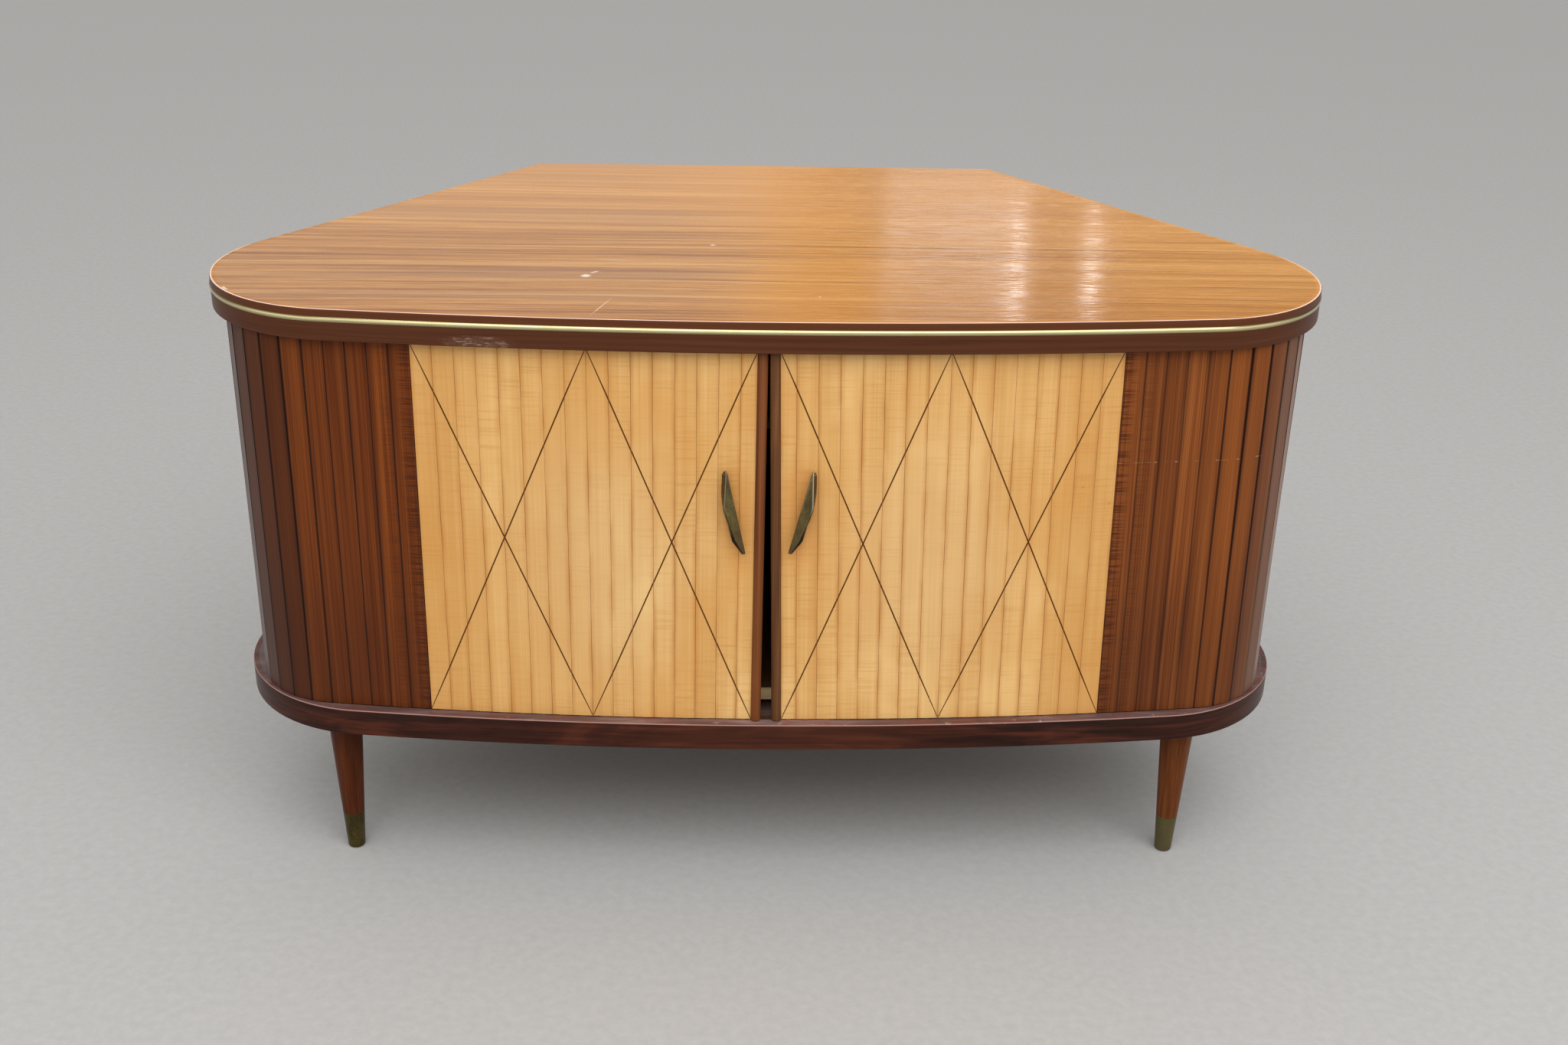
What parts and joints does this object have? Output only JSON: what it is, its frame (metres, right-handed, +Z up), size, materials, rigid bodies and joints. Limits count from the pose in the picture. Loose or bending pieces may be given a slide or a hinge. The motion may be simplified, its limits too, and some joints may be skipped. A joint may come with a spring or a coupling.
{
  "type": "corner bar cabinet",
  "caption": "Low corner bar cabinet with a bowed front, sliding tambour doors of light and dark slats, slanting sides, a brass edge strip and tapered legs with brass feet",
  "frame": {"origin": "centre of the footprint on the floor the legs stand on", "axes": "+Z up, doors face -Y, +X to the right of a person facing the doors, along the cabinet's width"},
  "size_m": [1.1934, 0.6811, 0.665],
  "materials": {
    "top_veneer": "glossy lacquered straight-grain veneer",
    "top_edge_wood": "dark lacquered wood",
    "base_edge_wood": "dark lacquered wood",
    "base_wood": "dark lacquered wood",
    "bright_brass": "polished",
    "aged_brass": "tarnished",
    "pull_brass": "darkened, satin",
    "plain_steel": "plain",
    "leg_wood": "satin lacquered wood",
    "side_veneer": "satin veneer",
    "back_board": "raw board",
    "inner_wood": "pale, lightly sealed",
    "stile_wood": "satin lacquered wood",
    "light_wood": "satin lacquered figured wood",
    "dark_wood": "satin lacquered wood",
    "canvas": "woven cloth"
  },
  "bodies": {
    "carcass": {"top_board": "top_veneer", "top_lipping": "top_edge_wood", "brass_edge_strip": "bright_brass", "base_board": "base_wood", "base_lipping": "base_edge_wood", "side_panel_left": "side_veneer", "side_panel_right": "side_veneer", "back_panel": "back_board", "inner_wall_left": "inner_wood", "inner_wall_right": "inner_wood", "inner_floor": "inner_wood", "floor_bearers": "inner_wood", "shelf": "inner_wood", "shelf_cleat_left": "inner_wood", "shelf_cleat_right": "inner_wood", "leg_plates": "plain_steel", "leg_plate_screws": "plain_steel", "leg_studs": "plain_steel", "leg_front_left": "leg_wood", "ferrule_front_left": "aged_brass", "leg_front_right": "leg_wood", "ferrule_front_right": "aged_brass", "leg_rear_left": "leg_wood", "ferrule_rear_left": "aged_brass", "leg_rear_right": "leg_wood", "ferrule_rear_right": "aged_brass"},
    "right_door_front": {"right_stile": "stile_wood", "right_pull": "pull_brass", "right_pull_screws": "plain_steel", "right_light_slats": "light_wood", "right_canvas": "canvas", "right_dark_slat_17": "dark_wood"},
    "right_slat_18": {"right_dark_slat_18": "dark_wood"},
    "right_slat_19": {"right_dark_slat_19": "dark_wood"},
    "right_slat_20": {"right_dark_slat_20": "dark_wood"},
    "right_slat_21": {"right_dark_slat_21": "dark_wood"},
    "right_slat_27": {"right_dark_slat_27": "dark_wood"},
    "right_slat_28": {"right_dark_slat_28": "dark_wood"},
    "right_slat_29": {"right_dark_slat_29": "dark_wood"},
    "right_slat_30": {"right_dark_slat_30": "dark_wood"},
    "right_corner_run": {"right_corner_slats": "dark_wood"},
    "right_slat_31": {"right_dark_slat_31": "dark_wood"},
    "left_door_front": {"left_stile": "stile_wood", "left_pull": "pull_brass", "left_pull_screws": "plain_steel", "left_light_slats": "light_wood", "left_canvas": "canvas", "left_dark_slat_17": "dark_wood"},
    "left_slat_18": {"left_dark_slat_18": "dark_wood"},
    "left_slat_19": {"left_dark_slat_19": "dark_wood"},
    "left_slat_20": {"left_dark_slat_20": "dark_wood"},
    "left_slat_21": {"left_dark_slat_21": "dark_wood"},
    "left_slat_27": {"left_dark_slat_27": "dark_wood"},
    "left_slat_28": {"left_dark_slat_28": "dark_wood"},
    "left_slat_29": {"left_dark_slat_29": "dark_wood"},
    "left_slat_30": {"left_dark_slat_30": "dark_wood"},
    "left_corner_run": {"left_corner_slats": "dark_wood"},
    "left_slat_31": {"left_dark_slat_31": "dark_wood"}
  },
  "joints": [
    {"name": "right_door_slide", "type": "hinge", "parent": "carcass", "child": "right_door_front", "pos_m": [0, 3.4476, 0.4195], "axis": [0, 0, 1], "range_deg": [0, 1.55]},
    {"name": "right_slat_18_turn", "type": "hinge", "parent": "carcass", "child": "right_slat_18", "pos_m": [0.38407, 0.16869, 0.4195], "axis": [0, 0, 1], "range_deg": [0, 12.54]},
    {"name": "right_slat_19_turn", "type": "hinge", "parent": "carcass", "child": "right_slat_19", "pos_m": [0.42199, -0.06513, 0.4195], "axis": [0, 0, 1], "range_deg": [0, 25.36]},
    {"name": "right_slat_20_turn", "type": "hinge", "parent": "carcass", "child": "right_slat_20", "pos_m": [0.44184, -0.1407, 0.4195], "axis": [0, 0, 1], "range_deg": [0, 38.17]},
    {"name": "right_slat_21_turn", "type": "hinge", "parent": "carcass", "child": "right_slat_21", "pos_m": [0.45715, -0.17671, 0.4195], "axis": [0, 0, 1], "range_deg": [0, 50.99]},
    {"name": "right_slat_27_turn", "type": "hinge", "parent": "carcass", "child": "right_slat_27", "pos_m": [0.44007, -0.19699, 0.4195], "axis": [0, 0, 1], "range_deg": [0, 47.29]},
    {"name": "right_slat_28_turn", "type": "hinge", "parent": "carcass", "child": "right_slat_28", "pos_m": [0.3949, -0.21402, 0.4195], "axis": [0, 0, 1], "range_deg": [0, 34.14]},
    {"name": "right_slat_29_turn", "type": "hinge", "parent": "carcass", "child": "right_slat_29", "pos_m": [0.29947, -0.26496, 0.4195], "axis": [0, 0, 1], "range_deg": [0, 20.98]},
    {"name": "right_slat_30_turn", "type": "hinge", "parent": "carcass", "child": "right_slat_30", "pos_m": [-0.09641, -0.51855, 0.4195], "axis": [0, 0, 1], "range_deg": [0, 7.83]},
    {"name": "right_corner_turn", "type": "hinge", "parent": "carcass", "child": "right_corner_run", "pos_m": [0.467, -0.19206, 0.4195], "axis": [0, 0, 1], "range_deg": [0, 60.26]},
    {"name": "right_slat_31_run", "type": "slide", "parent": "carcass", "child": "right_slat_31", "axis": [-0.5592, 0.829, 0], "range_m": [0, 0.1021]},
    {"name": "left_door_slide", "type": "hinge", "parent": "carcass", "child": "left_door_front", "pos_m": [0, 3.4476, 0.4195], "axis": [0, 0, -1], "range_deg": [0, 1.55]},
    {"name": "left_slat_18_turn", "type": "hinge", "parent": "carcass", "child": "left_slat_18", "pos_m": [-0.38407, 0.16869, 0.4195], "axis": [0, 0, -1], "range_deg": [0, 12.54]},
    {"name": "left_slat_19_turn", "type": "hinge", "parent": "carcass", "child": "left_slat_19", "pos_m": [-0.42199, -0.06513, 0.4195], "axis": [0, 0, -1], "range_deg": [0, 25.36]},
    {"name": "left_slat_20_turn", "type": "hinge", "parent": "carcass", "child": "left_slat_20", "pos_m": [-0.44184, -0.1407, 0.4195], "axis": [0, 0, -1], "range_deg": [0, 38.17]},
    {"name": "left_slat_21_turn", "type": "hinge", "parent": "carcass", "child": "left_slat_21", "pos_m": [-0.45715, -0.17671, 0.4195], "axis": [0, 0, -1], "range_deg": [0, 50.99]},
    {"name": "left_slat_27_turn", "type": "hinge", "parent": "carcass", "child": "left_slat_27", "pos_m": [-0.44007, -0.19699, 0.4195], "axis": [0, 0, -1], "range_deg": [0, 47.29]},
    {"name": "left_slat_28_turn", "type": "hinge", "parent": "carcass", "child": "left_slat_28", "pos_m": [-0.3949, -0.21402, 0.4195], "axis": [0, 0, -1], "range_deg": [0, 34.14]},
    {"name": "left_slat_29_turn", "type": "hinge", "parent": "carcass", "child": "left_slat_29", "pos_m": [-0.29947, -0.26496, 0.4195], "axis": [0, 0, -1], "range_deg": [0, 20.98]},
    {"name": "left_slat_30_turn", "type": "hinge", "parent": "carcass", "child": "left_slat_30", "pos_m": [0.09641, -0.51855, 0.4195], "axis": [0, 0, -1], "range_deg": [0, 7.83]},
    {"name": "left_corner_turn", "type": "hinge", "parent": "carcass", "child": "left_corner_run", "pos_m": [-0.467, -0.19206, 0.4195], "axis": [0, 0, -1], "range_deg": [0, 60.26]},
    {"name": "left_slat_31_run", "type": "slide", "parent": "carcass", "child": "left_slat_31", "axis": [0.5592, 0.829, 0], "range_m": [0, 0.1021]}
  ],
  "couplings": [
    {"joint": "right_slat_18_turn", "follows": "right_door_slide", "ratio": 8.0752},
    {"joint": "right_slat_19_turn", "follows": "right_door_slide", "ratio": 16.335},
    {"joint": "right_slat_20_turn", "follows": "right_door_slide", "ratio": 24.594},
    {"joint": "right_slat_21_turn", "follows": "right_door_slide", "ratio": 32.854},
    {"joint": "right_slat_27_turn", "follows": "right_door_slide", "ratio": 30.471},
    {"joint": "right_slat_28_turn", "follows": "right_door_slide", "ratio": 21.993},
    {"joint": "right_slat_29_turn", "follows": "right_door_slide", "ratio": 13.516},
    {"joint": "right_slat_30_turn", "follows": "right_door_slide", "ratio": 5.0376},
    {"joint": "right_corner_turn", "follows": "right_door_slide", "ratio": 38.83},
    {"joint": "right_slat_31_run", "follows": "right_door_slide", "m_per_rad": 3.7665},
    {"joint": "left_slat_18_turn", "follows": "left_door_slide", "ratio": 8.0752},
    {"joint": "left_slat_19_turn", "follows": "left_door_slide", "ratio": 16.335},
    {"joint": "left_slat_20_turn", "follows": "left_door_slide", "ratio": 24.594},
    {"joint": "left_slat_21_turn", "follows": "left_door_slide", "ratio": 32.854},
    {"joint": "left_slat_27_turn", "follows": "left_door_slide", "ratio": 30.471},
    {"joint": "left_slat_28_turn", "follows": "left_door_slide", "ratio": 21.993},
    {"joint": "left_slat_29_turn", "follows": "left_door_slide", "ratio": 13.516},
    {"joint": "left_slat_30_turn", "follows": "left_door_slide", "ratio": 5.0376},
    {"joint": "left_corner_turn", "follows": "left_door_slide", "ratio": 38.83},
    {"joint": "left_slat_31_run", "follows": "left_door_slide", "m_per_rad": 3.7665}
  ]
}
